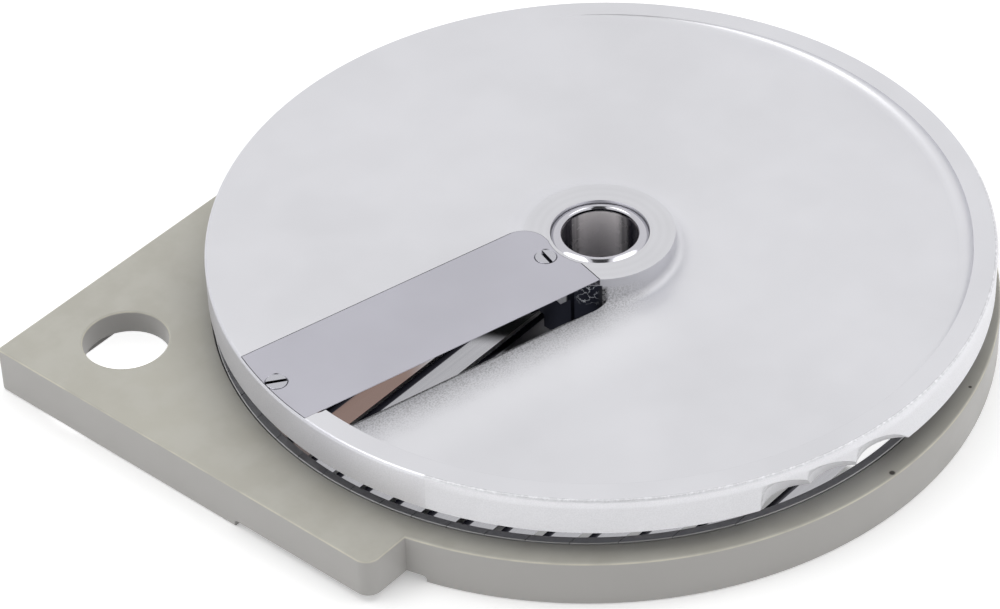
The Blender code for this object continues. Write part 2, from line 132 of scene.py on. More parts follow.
inner_screw = (blade_inner_end + 5.6 * mm, -94.8 * degree)

# Grid plate and ring, as in the part
plate_radius = 106.6 * mm
plate_thickness = plate_high[2]
plate_round = 0.7 * mm
plate_bore_radius = plate_radius - 7.0 * mm
ledge_width = 1.4 * mm
ring_outer_radius = plate_bore_radius - gap
ring_inner_radius = ring_outer_radius - 1.8 * mm
ring_lip = 0.5 * mm
ring_bottom = ring_low[2]
tab_reach = plate_radius + 10.1 * mm
tab_far_side = plate_radius - 3.8 * mm
tab_near_side = -26.3 * mm
tab_near_corner = 4.0 * mm
tab_far_corner = 1.2 * mm
finger_hole_radius = 11.2 * mm
finger_hole_inset = 23.6 * mm
finger_hole_place = (finger_hole_inset - tab_reach, tab_far_side - finger_hole_inset)
plastic_marks = (
    ((-5.9 * mm, -104.8 * mm, 13.5 * mm), 1.0 * mm),
    ((32.3 * mm, -101.3 * mm, 13.5 * mm), 0.6 * mm),
)
groove_depth = 2.3 * mm
groove_near_side = -31.5 * mm
groove_far_side = 19.2 * mm
groove_round = 1.2 * mm
tab_hollow_height = plate_thickness - 7.1 * mm
tab_skirt = 7.4 * mm
tab_hollow_round = 3.0 * mm
tab_hollow_end = 6.0 * mm
knife_pitch = 9.05 * mm
knife_pairs = 10
knife_thickness = 1.0 * mm
knife_top = plate_thickness - 3.4 * mm
knife_ground = 1.7 * mm
knife_edge_height = 1.6 * mm
knife_edge_thickness = 0.14 * mm
knife_bottom = knife_top - 9.5 * mm
slot_bottom = 4.8 * mm
slot_clearance = 0.06 * mm
hairline_width = 0.16 * mm

# Camera, at the photograph's viewing angle
camera_place = Vector((-578.1, -489.1, 644.15)) * mm
camera_heading = 48.2 * degree
camera_dip = 39.96 * degree
camera_roll = -2.1 * degree
lens_mm = 135.85

# Light and floor
soft_box_distance = 1.25
soft_box_height = 62 * degree
soft_box_side = 0.6
floor_half_width = 3.0
throat_window = (-42 * mm, 20 * mm)


# Meshes from arrays


def polar(radius, turn, z=0.0):
    """Points (radius cos turn, radius sin turn, z), with the last axis of the array holding x, y and z."""
    radius, turn, z = np.broadcast_arrays(radius, turn, z)
    return np.stack((radius * np.cos(turn), radius * np.sin(turn), z), axis=-1)


def grid_faces(rows, columns, close_rows):
    """Quads between neighbouring rows of a grid of points whose columns run round and meet."""
    row = np.arange(rows if close_rows else rows - 1)[:, None]
    column = np.arange(columns)[None, :]
    near, far = row * columns, (row + 1) % rows * columns
    following = (column + 1) % columns
    return np.stack((near + column, near + following, far + following, far + column), axis=-1).reshape(-1, 4)


def new_piece(name, points, faces):
    """A mesh object from an array of points and a list of faces."""
    mesh = bpy.data.meshes.new(name)
    mesh.from_pydata(points.reshape(-1, 3), [], faces)
    made = bpy.data.objects.new(name, mesh)
    bpy.context.scene.collection.objects.link(made)
    return made


def loft(name, rings):
    """A closed solid from an array of rings (ring, point, xyz): walls join each ring to the next, and a flat
    face closes the first and the last."""
    rows, columns = rings.shape[:2]
    walls = grid_faces(rows, columns, close_rows=False).tolist()
    caps = [list(range(columns))[::-1], list(range((rows - 1) * columns, rows * columns))]
    return new_piece(name, rings, walls + caps)


def turned(name, profile, count):
    """A ring turned about Z: a closed profile of (radius, z) rows carried once round the axis."""
    turn = np.linspace(0, math.tau, count, endpoint=False)[:, None]
    points = polar(profile[None, :, 0], turn, profile[None, :, 1])
    return new_piece(name, points, grid_faces(count, len(profile), close_rows=True))


def plug(name, profile, count, centre=(0, 0)):
    """A solid turned about an upright axis through centre, from (radius, z) rows rising from the bottom."""
    turn = np.linspace(0, math.tau, count, endpoint=False)[None, :]
    points = polar(profile[:, None, 0], turn, profile[:, None, 1]) + np.array((*centre, 0))
    return loft(name, points)


def at_height(outline, z):
    """An outline of (x, y) rows raised to the height z."""
    return np.column_stack((outline, np.full(len(outline), z)))


def prism(name, outline, low, high):
    """An outline of (x, y) rows carried straight up from low to high."""
    return loft(name, np.array([at_height(outline, z) for z in (low, high)]))


def carried_along_x(name, section, ends):
    """A section of (y, z) rows carried straight along X between two ends."""
    return loft(name, np.array([np.column_stack((np.full(len(section), x), section)) for x in ends]))


def rectangle(left, right, near, far):
    """The four (x, y) corners of a rectangle."""
    return np.array(((left, near), (right, near), (right, far), (left, far)))


def arc(centre, radius, start, end, steps):
    """(x, y) rows on a circle, from the angle start to the angle end."""
    turn = np.linspace(start, end, steps + 1)
    return np.column_stack((centre[0] + radius * np.cos(turn), centre[1] + radius * np.sin(turn)))


def set_normals(made):
    """Points faces outwards and keeps only the edges past sharp_angle sharp."""
    mesh = made.data
    bpy.context.view_layer.objects.active = made
    made.select_set(True)
    bpy.ops.object.mode_set(mode="EDIT")
    bpy.ops.mesh.select_all(action="SELECT")
    bpy.ops.mesh.normals_make_consistent(inside=False)
    bpy.ops.object.mode_set(mode="OBJECT")
    made.select_set(False)
    mesh.shade_smooth()
    mesh.set_sharp_from_angle(angle=sharp_angle)


def carve(made, tools, operation="DIFFERENCE"):
    """Cuts each tool from the piece with an exact Boolean, or adds it, applies it, and removes the tools."""
    for tool in tools:
        set_normals(tool)
        step = made.modifiers.new(tool.name, "BOOLEAN")
        step.operation = operation
        step.solver = "EXACT"
        step.object = tool
    graph = bpy.context.evaluated_depsgraph_get()
    cut = bpy.data.meshes.new_from_object(made.evaluated_get(graph), depsgraph=graph)
    made.modifiers.clear()
    made.data = cut
    for tool in tools:
        bpy.data.objects.remove(tool, do_unlink=True)


def place(made, centre, turn=0.0):
    """Moves the mesh itself to its place, so that the object stays at the origin."""
    made.data.transform(Matrix.Translation(centre) @ Matrix.Rotation(turn, 4, "Z"))


def finish_piece(made, surface, node):
    """Shades a piece, lets large flat faces keep their direction, and puts it in place of its CAD node."""
    set_normals(made)
    weighted = made.modifiers.new("flat faces stay flat", "WEIGHTED_NORMAL")
    weighted.keep_sharp = True
    made.data.materials.clear()
    made.data.materials.append(surface)
    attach(made, body)
    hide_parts(node)


# Material nodes


class Nodes:
    """A node tree whose nodes are added by short calls."""

    def __init__(self, tree):
        self.tree = tree

    def add(self, kind, settings=None, **inputs):
        """A node with its settings, and with its inputs set to a value or linked to an output."""
        made = self.tree.nodes.new(kind)
        for key, value in (settings or {}).items():
            setattr(made, key, value)
        for key, value in inputs.items():
            self.feed(made, key.replace("_", " "), value)
        return made

    def feed(self, made, key, value):
        """Sets one input by name or number, or links an output to it."""
        socket = made.inputs[int(key)] if key.isdigit() else made.inputs[key]
        if isinstance(value, bpy.types.NodeSocket):
            self.tree.links.new(value, socket)
        else:
            socket.default_value = value

    def math(self, operation, first, second=0.0, third=0.0, clamp=False):
        """The result of a Math node."""
        made = self.add("ShaderNodeMath", {"operation": operation, "use_clamp": clamp})
        for index, value in enumerate((first, second, third)):
            self.feed(made, str(index), value)
        return made.outputs[0]

    def noise(self, scale, detail=2.0, roughness=0.5, place=None):
        """A noise of about 0 to 1 at so many waves a metre."""
        made = self.add("ShaderNodeTexNoise", Vector=place or self.place, Scale=scale, Detail=detail,
                        Roughness=roughness)
        return made.outputs["Fac"]

    def ramp(self, value, low, high, to_low=0.0, to_high=1.0):
        """Carries a value smoothly from the range low to high into another range, clamped."""
        made = self.add("ShaderNodeMapRange", {"interpolation_type": "SMOOTHSTEP"})
        for index, number in enumerate((value, low, high, to_low, to_high)):
            self.feed(made, str(index), number)
        return made.outputs[0]

    def fade(self, value, low, high):
        """Falls smoothly from 1 to 0 as a value goes from low to high."""
        return self.ramp(value, low, high, 1.0, 0.0)

    def mix(self, share, first, second):
        """Blends two colours."""
        made = self.add("ShaderNodeMix", {"data_type": "RGBA"})
        self.feed(made, "0", share)
        self.feed(made, "6", (*first, 1) if isinstance(first, tuple) else first)
        self.feed(made, "7", (*second, 1) if isinstance(second, tuple) else second)
        return made.outputs[2]

    def bump(self, height, strength, distance, normal=None):
        """Tilts the surface by a height, in steps of so many metres."""
        made = self.add("ShaderNodeBump", Height=height, Strength=strength, Distance=distance)
        if normal is not None:
            self.feed(made, "Normal", normal)
        return made.outputs["Normal"]

    def local(self, centre, turn=0.0):
        """Coordinates about a centre, turned so that they follow the piece."""
        moved = self.add("ShaderNodeMapping", {"vector_type": "TEXTURE"}, Vector=self.place)
        moved.inputs["Location"].default_value = centre
        moved.inputs["Rotation"].default_value = (0, 0, turn)
        return moved.outputs["Vector"]

    def split(self, vector):
        """The x, y and z of a vector."""
        made = self.add("ShaderNodeSeparateXYZ", Vector=vector)
        return made.outputs[0], made.outputs[1], made.outputs[2]

    def join(self, x, y, z):
        """A vector from its x, y and z."""
        return self.add("ShaderNodeCombineXYZ", X=x, Y=y, Z=z).outputs[0]

    def length(self, x, y):
        """The length of a flat vector: the square root of x x + y y."""
        return self.math("SQRT", self.math("MULTIPLY_ADD", x, x, self.math("MULTIPLY", y, y)))

    def streaks(self, x, y, z, waves):
        """A noise drawn out along the axes that have few waves a metre."""
        scaled = [self.math("MULTIPLY", value, scale) for value, scale in zip((x, y, z), waves)]
        return self.noise(1.0, 2, 0.6, self.join(*scaled))

    def all_of(self, first, *others):
        """The product of several masks."""
        for other in others:
            first = self.math("MULTIPLY", first, other)
        return first


class Shader(Nodes):
    """A Principled material."""

    def __init__(self, name, colour, roughness, metallic):
        self.material = bpy.data.materials.new(name)
        self.material.use_nodes = True
        super().__init__(self.material.node_tree)
        self.surface = self.tree.nodes["Principled BSDF"]
        self.surface.inputs["Base Color"].default_value = (*colour, 1)
        self.surface.inputs["Roughness"].default_value = roughness
        self.surface.inputs["Metallic"].default_value = metallic
        self.place = self.add("ShaderNodeTexCoord").outputs["Object"]


def turned_aluminium():
    """Satin turned aluminium: faint rings about the axis, a blasted band behind the throat's lip, a grainy
    cast rim wall and slightly uneven tone, with painted light and shade: the hub in the throat painted dark,
    painted shade lines at the rim's top edge, its inner step and the lip, and painted light on the front of
    the machined wall."""
    s = Shader("turned aluminium", (0.69, 0.69, 0.72), 0.36, 1.0)
    x, y, z = s.split(s.local(disc_centre, disc_turn))
    radius = s.length(x, y)
    angle = s.math("ARCTAN2", y, x)
    grain = s.noise(2600, 2, 0.7)
    coarse_grain = s.noise(900, 3, 0.6)
    patches = s.noise(18, 3, 0.55)
    smears = s.noise(60, 2, 0.5)

    # Past the lip the casting is left blasted, and the machined ramp takes over some way along
    lip_distance = s.math("MULTIPLY", s.math("ADD", y, lip_line), -1.0)
    ragged = s.math("MULTIPLY_ADD", s.noise(260, 3), 7 * mm, lip_distance)
    on_ramp = s.all_of(
        s.ramp(lip_distance, -1 * mm, 0.0),
        s.fade(radius, rim_inner_radius - 4 * mm, rim_inner_radius - 1 * mm),
        s.ramp(x, 4 * mm, -10 * mm),
        s.ramp(z, -2.0 * mm, -3.5 * mm),
    )
    blasted = s.all_of(s.fade(ragged, 3 * mm, 17 * mm), on_ramp)
    dusty = s.all_of(s.fade(lip_distance, 10 * mm, 32 * mm), on_ramp)
    lip_shade = s.all_of(s.fade(lip_distance, 0.3 * mm, 0.8 * mm), on_ramp)

    # The rim's wall is left as cast from a joint round to the far end of the scallops
    past_joint = s.all_of(
        s.ramp(angle, cast_joint_turn, cast_joint_turn + 0.3 * degree),
        s.fade(angle, -30 * degree, -10 * degree),
    )
    before_joint = s.math("SUBTRACT", 1.0, past_joint)
    on_wall = s.ramp(radius, disc_radius - 0.75 * mm, disc_radius - 0.6 * mm)
    in_scallop = s.all_of(
        s.ramp(radius, disc_radius - 6.0 * mm, disc_radius - 5.5 * mm),
        s.ramp(z, 0.3 * mm - scallop_top, -0.1 * mm - scallop_top),
    )
    cast_wall = s.all_of(s.math("MAXIMUM", on_wall, in_scallop), past_joint)
    # Painted shade: a dark broken line on the top edge's round past the joint, standing in for the shadow of a
    # fine groove
    edge_shade_line = s.all_of(
        past_joint,
        s.ramp(radius, disc_radius - 0.95 * mm, disc_radius - 0.7 * mm),
        s.fade(radius, disc_radius - 0.35 * mm, disc_radius - 0.1 * mm),
        s.ramp(s.noise(900, 3), 0.30, 0.60),
    )
    # Painted shade: a fine dark broken line along the rim's inner step at the front
    from_step = s.math("ABSOLUTE", s.math("SUBTRACT", radius, rim_inner_radius))
    step_shade_line = s.all_of(
        s.fade(from_step, 0.08 * mm, 0.2 * mm),
        s.ramp(angle, -50 * degree, -60 * degree),
        s.ramp(s.noise(400, 3), 0.35, 0.5),
    )

    # The hub's wall in the throat is painted dark as shade and a dark reflection, with bright scratches near
    # the blade's inner end that also stand in for a painted glint
    low_hub = s.ramp(z, -9.3 * mm, -9.9 * mm)
    in_throat = s.all_of(
        s.ramp(z, -2.0 * mm, -2.2 * mm),
        s.ramp(y, -lip_line, 0.2 * mm - lip_line),
        s.ramp(x, 1 * mm, 0.0),
    )
    near_hub = s.ramp(radius, hub_radius + 1.5 * mm, hub_radius + 0.8 * mm)
    hub_painted_shade = s.all_of(near_hub, s.math("MAXIMUM", low_hub, in_throat))
    ridge = s.math("ABSOLUTE", s.math("SUBTRACT", s.noise(420, 3, 0.6), 0.5))
    scratches_and_painted_glint = s.all_of(
        s.fade(ridge, 0.008, 0.022),
        s.ramp(x, -16.5 * mm, -14.5 * mm),
        s.ramp(x, -11.5 * mm, -12.5 * mm),
        s.ramp(z, -9 * mm, -7 * mm),
    )

    # Tone multiplies the colour; the edge, step and lip lines in it are painted shade
    tone = s.math("ADD", s.ramp(patches, 0.3, 0.7, 0.97, 1.015), s.ramp(smears, 0.3, 0.7, -0.012, 0.012))
    turned_rings = s.math("SINE", s.math("MULTIPLY", radius, math.tau / boss_ring_pitch))
    rough_grain = s.ramp(grain, 0.35, 0.65)
    for mask, amount in (
        (s.all_of(turned_rings, s.fade(radius, 15 * mm, 26 * mm)), 0.015),
        (s.all_of(blasted, s.fade(grain, 0.30, 0.62)), -0.46),
        (s.all_of(cast_wall, rough_grain), 0.07),
        (s.all_of(on_wall, rough_grain, before_joint), 0.08),
        (edge_shade_line, -0.22),
        (step_shade_line, -0.16),
        (lip_shade, -0.55),
        (s.ramp(radius, boss_radius + 0.5 * mm, boss_radius - 0.5 * mm), -0.07),
    ):
        tone = s.math("MULTIPLY_ADD", mask, amount, tone)

    matt = s.math("MULTIPLY", s.math("MAXIMUM", dusty, s.all_of(in_scallop, past_joint)), 0.85)
    matt = s.math("MAXIMUM", matt, s.math("MULTIPLY", on_wall, 0.45))
    # Painted light: the machined wall before the joint is coloured lighter towards -Y near the joint and
    # darker from there round
    left_wall_painted_light = s.mix(s.ramp(y, -48 * mm, -20 * mm), (0.81, 0.81, 0.85), (0.62, 0.62, 0.66))
    hub_painted_shade_colour = s.mix(scratches_and_painted_glint, (0.022, 0.024, 0.036), (0.60, 0.62, 0.66))
    colour = s.mix(matt, (0.69, 0.69, 0.72), (0.74, 0.74, 0.77))
    colour = s.mix(s.all_of(on_wall, before_joint), colour, left_wall_painted_light)
    colour = s.mix(cast_wall, colour, (0.83, 0.83, 0.86))
    colour = s.mix(hub_painted_shade, colour, hub_painted_shade_colour)
    tint = s.add("ShaderNodeVectorMath", {"operation": "SCALE"})
    s.feed(tint, "0", colour)
    s.feed(tint, "Scale", tone)
    s.feed(s.surface, "Base Color", tint.outputs["Vector"])
    s.feed(s.surface, "Metallic", s.math("SUBTRACT", 1.0, matt))

    rough = s.math("MAXIMUM", blasted, cast_wall, clamp=True)
    boss_foot = s.all_of(
        s.ramp(radius, boss_radius - 0.3 * mm, boss_radius),
        s.fade(radius, boss_radius + 3 * mm, boss_radius + 6 * mm),
    )
    roughness = s.math("MULTIPLY_ADD", rough, 0.16, s.ramp(patches, 0.25, 0.75, 0.32, 0.42))
    s.feed(s.surface, "Roughness", s.math("MULTIPLY_ADD", boss_foot, 0.22, roughness))

    rings = s.math("SINE", s.math("MULTIPLY", radius, math.tau / turning_pitch))
    fine = s.bump(s.math("ADD", s.math("MULTIPLY", rings, 0.25), s.noise(1500, 2)), 0.05, 0.02 * mm)
    pit_depth = s.math("ADD", s.math("MULTIPLY", grain, 0.8), s.math("MULTIPLY", coarse_grain, 0.3))
    s.feed(s.surface, "Normal", s.bump(s.all_of(rough, pit_depth), 0.4, 0.10 * mm, fine))
    return s.material


def ground_steel():
    """Blade steel with a fine grind across its length and a faint uneven tone."""
    s = Shader("ground blade steel", (0.47, 0.47, 0.52), 0.27, 1.0)
    x, y, _ = s.split(s.local(disc_centre, disc_turn))
    lines = s.streaks(x, y, 0.0, (60.0, 2600.0, 0.0))
    cloud = s.noise(30, 3, 0.5)
    colour = s.mix(s.ramp(cloud, 0.3, 0.7), (0.475, 0.470, 0.520), (0.510, 0.505, 0.560))
    s.feed(s.surface, "Base Color", colour)
    s.feed(s.surface, "Roughness", s.ramp(lines, 0.2, 0.8, 0.275, 0.290))
    return s.material


def screw_steel():
    """The screws' steel, with painted shade in the slot and on the sunk underside of the head."""
    s = Shader("screw steel", (0.50, 0.50, 0.54), 0.24, 1.0)
    z = s.split(s.local(disc_centre, disc_turn))[2]
    # Painted shade: the slot and the head's sunk underside are coloured near black
    painted_slot_shade = s.ramp(z, -0.08 * mm, -0.3 * mm)
    s.feed(s.surface, "Base Color", s.mix(painted_slot_shade, (0.50, 0.50, 0.54), (0.035, 0.035, 0.045)))
    s.feed(s.surface, "Roughness", s.ramp(s.noise(900, 2), 0.3, 0.7, 0.20, 0.30))
    return s.material


def polished_steel():
    """Bush steel with a polished lip, turning marks in the bore, painted shade darkening the bore and a pale
    painted reflection on its far wall.
    """
    s = Shader("polished bush steel", (0.54, 0.535, 0.575), 0.10, 1.0)
    x, y, z = s.split(s.local(disc_centre, disc_turn))
    in_bore = s.ramp(z, -1.0 * mm, -1.6 * mm)
    # Painted light and shade: the bore is coloured near black as shade, and its far wall, the side that faces
    # the viewer, is painted pale as a reflection
    across, along = math.cos(bore_lit_turn) / bore_radius, math.sin(bore_lit_turn) / bore_radius
    lit_side = s.math("MULTIPLY_ADD", x, across, s.math("MULTIPLY", y, along))
    ragged = s.math("MULTIPLY_ADD", s.streaks(x, y, 0.0, (420.0, 420.0, 0.0)), 0.36, lit_side)
    painted_pale_light = s.all_of(s.ramp(ragged, 0.72, 1.12), in_bore)
    steel = s.mix(in_bore, (0.54, 0.535, 0.575), (0.05, 0.05, 0.08))
    s.feed(s.surface, "Base Color", s.mix(painted_pale_light, steel, (1.0, 0.95, 0.97)))
    s.feed(s.surface, "Metallic", s.math("SUBTRACT", 1.0, painted_pale_light))
    polish = s.ramp(s.noise(300, 2), 0.3, 0.7, 0.09, 0.13)
    s.feed(s.surface, "Roughness", s.math("MULTIPLY_ADD", in_bore, 0.16, polish))
    marks = s.streaks(0.0, 0.0, z, (0.0, 0.0, 5200.0))
    s.feed(s.surface, "Normal", s.bump(s.all_of(marks, in_bore), 0.10, 0.01 * mm))
    return s.material


def knife_steel():
    """Thin bright knife steel, lightly streaked along its length, with its ground edge painted near black as
    shade and, on the two knives that show below the cutting edge, a painted warm reflection that turns to
    painted shade towards their -X ends."""
    s = Shader("knife steel", (0.47, 0.47, 0.49), 0.16, 1.0)
    x, y, z = s.split(s.place)
    streak = s.streaks(x, y, z, (40.0, 120.0, 1400.0))
    colour = s.mix(s.ramp(streak, 0.3, 0.7), (0.33, 0.33, 0.35), (0.36, 0.36, 0.38))
    # Painted reflection: a warm brown on two knives' faces, darker as painted shade towards their -X ends
    painted_warm_reflection = s.all_of(
        s.ramp(y, 2 * knife_pitch, 2.2 * knife_pitch),
        s.fade(y, 4 * knife_pitch, 4.2 * knife_pitch),
        s.fade(x, -45 * mm, -30 * mm),
    )
    in_shade = s.all_of(painted_warm_reflection, s.ramp(x, -74 * mm, -80 * mm))
    colour = s.mix(s.math("MULTIPLY", painted_warm_reflection, 0.9), colour, (0.185, 0.113, 0.090))
    colour = s.mix(in_shade, colour, (0.10, 0.082, 0.078))
    # Painted shade: the ground edge is coloured near black
    ground_low = knife_top - knife_ground
    ground = s.ramp(z, ground_low - 0.1 * mm, ground_low + 0.1 * mm)
    s.feed(s.surface, "Base Color", s.mix(ground, colour, (0.018, 0.018, 0.026)))
    s.feed(s.surface, "Roughness", s.ramp(streak, 0.25, 0.75, 0.13, 0.21))
    s.feed(s.surface, "Normal", s.bump(streak, 0.03, 0.01 * mm))
    return s.material


def dull_steel():
    """The ring's steel, coloured dark as painted shade, with a few paler spots of wear and a pale painted
    highlight on its outer edge.
    """
    s = Shader("dull ring steel", (0.14, 0.14, 0.15), 0.42, 0.9)
    x, y, z = s.split(s.local(plate_centre))
    wear = s.noise(220, 4, 0.6)
    # Painted highlight: the outer top edge is coloured pale and less metallic
    edge = s.all_of(
        s.ramp(s.length(x, y), ring_outer_radius - 0.18 * mm, ring_outer_radius - 0.14 * mm),
        s.ramp(z, plate_thickness - 0.6 * mm, plate_thickness - 0.5 * mm),
    )
    # Painted shade: the ring's steel is coloured dark, with a few paler spots of wear
    colour = s.mix(s.ramp(wear, 0.45, 0.8), (0.24, 0.24, 0.25), (0.33, 0.33, 0.34))
    s.feed(s.surface, "Base Color", s.mix(edge, colour, (0.50, 0.50, 0.50)))
    s.feed(s.surface, "Roughness", s.ramp(wear, 0.3, 0.7, 0.36, 0.50))
    s.feed(s.surface, "Metallic", s.math("MULTIPLY_ADD", edge, -0.5, 0.8))
    s.feed(s.surface, "Normal", s.bump(s.noise(1800, 2), 0.08, 0.02 * mm))
    return s.material


def grey_plastic():
    """Moulded beige-grey plastic: soft mottling, fine moulded grain and a few dark specks, with painted light
    and shade: sides coloured apart from the top, a pale painted highlight along the rounded edges and a
    painted shadow of the disc on the top next to it."""
    s = Shader("grey plastic", (0.39, 0.385, 0.33), 0.44, 0.0)
    cloud = s.noise(14, 4, 0.55)
    mottle = s.noise(85, 3, 0.6)
    up = s.split(s.add("ShaderNodeNewGeometry").outputs["Normal"])[2]
    colour = s.mix(s.ramp(cloud, 0.3, 0.7), (0.40, 0.388, 0.345), (0.44, 0.428, 0.375))
    colour = s.mix(s.ramp(mottle, 0.35, 0.65, 0.0, 0.5), colour, (0.475, 0.468, 0.425))
    # Painted light: faces tilted away from the top take a greyer colour of their own
    colour = s.mix(s.ramp(up, 0.2, 0.8), (0.43, 0.42, 0.405), colour)
    x, y, _ = s.split(s.local(disc_centre))
    # Painted shadow of the disc on the plate's top next to it
    near_disc = s.fade(s.length(x, y), disc_radius - 4 * mm, disc_radius + 4.5 * mm)
    painted_disc_shadow = s.all_of(near_disc, s.ramp(up, 0.5, 0.9), 0.5)
    colour = s.mix(painted_disc_shadow, colour, (0.19, 0.19, 0.205))
    # Painted highlight: a pale line on the rounded edges that face partly up, broken up by the mottling
    painted_pale_light = s.all_of(s.ramp(up, 0.25, 0.5), s.fade(up, 0.72, 0.92), s.ramp(mottle, 0.3, 0.6, 0.2, 0.7), 0.9)
    colour = s.mix(painted_pale_light, colour, (0.70, 0.67, 0.55))
    specks = 0.0
    for centre, size in plastic_marks:
        near = s.add("ShaderNodeVectorMath", {"operation": "DISTANCE"})
        s.feed(near, "0", s.place)
        s.feed(near, "1", centre)
        specks = s.math("MAXIMUM", specks, s.fade(near.outputs["Value"], 0.5 * size, size))
    s.feed(s.surface, "Base Color", s.mix(specks, colour, (0.05, 0.045, 0.04)))
    s.feed(s.surface, "Roughness", s.ramp(mottle, 0.3, 0.7, 0.40, 0.50))
    s.surface.inputs["Specular IOR Level"].default_value = 0.4
    grain = s.bump(s.noise(1900, 2, 0.5), 0.10, 0.03 * mm)
    s.feed(s.surface, "Normal", s.bump(mottle, 0.05, 0.2 * mm, grain))
    return s.material


# Slicing disc


def fillet(wall_radius, floor, size, outward, steps):
    """Quarter rounds between a wall and the ramp's floor, one row of (radius, z) points a sweep angle:
    radius = wall + size (1 - cos t), z = floor + height (1 - sin t), with the height held to the floor's
    depth."""
    height = np.minimum(size, -floor)
    turn = np.linspace(0, math.pi / 2, steps + 1)[None, :]
    radius = np.broadcast_to(wall_radius + outward * size * (1 - np.cos(turn)), (len(floor), steps + 1))
    return np.stack((radius, floor + height * (1 - np.sin(turn))), axis=-1)


def disc_blank():
    """The disc before its cuts: a closed (radius, z) section carried round the axis while its floor rises in
    proportion to the sweep from the lip. Each section lies on a line that just touches the circle of radius
    blade_lead, so the ramp's lip is parallel to the cutting edge."""
    sweep = np.append(np.linspace(0, math.tau, 480, endpoint=False), math.tau - lip_jump / 4)[:, None]
    floor = -slice_thickness * np.maximum(0, 1 - sweep / ramp_turn)
    count = len(sweep)

    def fixed(*rows):
        return np.broadcast_to(np.array(rows), (count, len(rows), 2))

    def edge_round(radius, z, size, start, steps=4):
        turn = np.linspace(start, start - math.pi / 2, steps + 1)
        return fixed(*np.column_stack((radius + size * np.cos(turn), z + size * np.sin(turn))))

    boss = fillet(boss_radius, floor, boss_fillet, 1, 6)
    rim = fillet(rim_inner_radius, floor, rim_fillet, -1, 8)[:, ::-1]
    share = np.linspace(0, 1, ramp_columns + 2)[None, 1:-1]
    inner, outer = boss[:, -1:, 0], rim[:, :1, 0]
    ramp = np.stack((inner + (outer - inner) * share, np.broadcast_to(floor, (count, ramp_columns))), axis=-1)
    under_radius = np.broadcast_to([skirt_inner_radius, hub_radius], (count, 2))
    under = np.stack((under_radius, np.repeat(floor - ramp_wall, 2, axis=1)), axis=-1)
    section = np.concatenate((
        fixed((bush_hole_radius, -hub_length), (bush_hole_radius, -bush_fall)),
        fixed((bush_hole_radius + hole_break, 0)),
        fixed((boss_radius - fillet_step, 0)),
        boss, ramp, rim,
        fixed((rim_inner_radius + fillet_step, 0)),
        edge_round(disc_radius - rim_round, -rim_round, rim_round, math.pi / 2),
        fixed((disc_radius, -rim_height), (skirt_inner_radius, -rim_height)),
        under,
        fixed((hub_radius, -hub_length)),
    ), axis=1)
    radius, z = section[..., 0], section[..., 1]
    turn = math.pi + np.arcsin(blade_lead / np.maximum(radius, hub_radius)) + sweep
    points = polar(radius, turn, z)
    return new_piece("disc", points, grid_faces(count, points.shape[1], close_rows=True))


def blade_outline(grow=0.0):
    """The blade from above: its outer end follows the rim, and its inner end is hollowed round the bush,
    with one round corner."""
    front, back = -blade_lead - grow, -blade_back + grow
    end, inner, neck = blade_end_radius + 2.5 * grow, -blade_inner_end + 3 * grow, -blade_neck + grow
    hollow, corner = blade_arc_radius - grow, blade_corner_radius + grow
    hollow_start = math.pi + math.acos(-inner / hollow)
    hollow_end = math.pi - math.acos(-neck / hollow)
    end_front, end_back = math.pi - math.asin(front / end), math.pi - math.asin(back / end)
    return np.concatenate((
        [(inner, front)],
        arc((0, 0), hollow, hollow_start, hollow_end, 24),
        arc((neck - corner, back - corner), corner, 0, math.pi / 2, 16),
        arc((0, 0), end, end_back, end_front, 24),
    ))


def throat_outline():
    """The throat from above: from the ramp's lip to the blade's seat, round the boss, where it flares."""
    corner, outer = throat_corner_radius, -throat_outer_end
    lip_turn = math.pi + math.asin((lip_line + throat_flare) / throat_boss_radius)
    seat_turn = math.pi + math.asin(seat_front / throat_boss_radius)
    return np.concatenate((
        arc((outer + corner, corner - lip_line), corner, -math.pi, -math.pi / 2, 10),
        [(-boss_radius / 2 - throat_flare_length, -lip_line)],
        arc((0, 0), throat_boss_radius, lip_turn, seat_turn, 16),
        arc((outer + corner, -seat_front - corner), corner, math.pi / 2, math.pi, 10),
    ))


def seat_slope_tool():
    """The wedge under the blade's seat, a four-sided section carried along the throat."""
    top, low = -blade_thickness - gap, -hub_length - over
    run = (low - top) / (-seat_height - top) * seat_slope
    near = -seat_front
    section = np.array(((near - over, top), (near, top), (near + run, low), (near - over, low)))
    return carried_along_x("seat slope", section, (-throat_outer_end, -hub_radius))


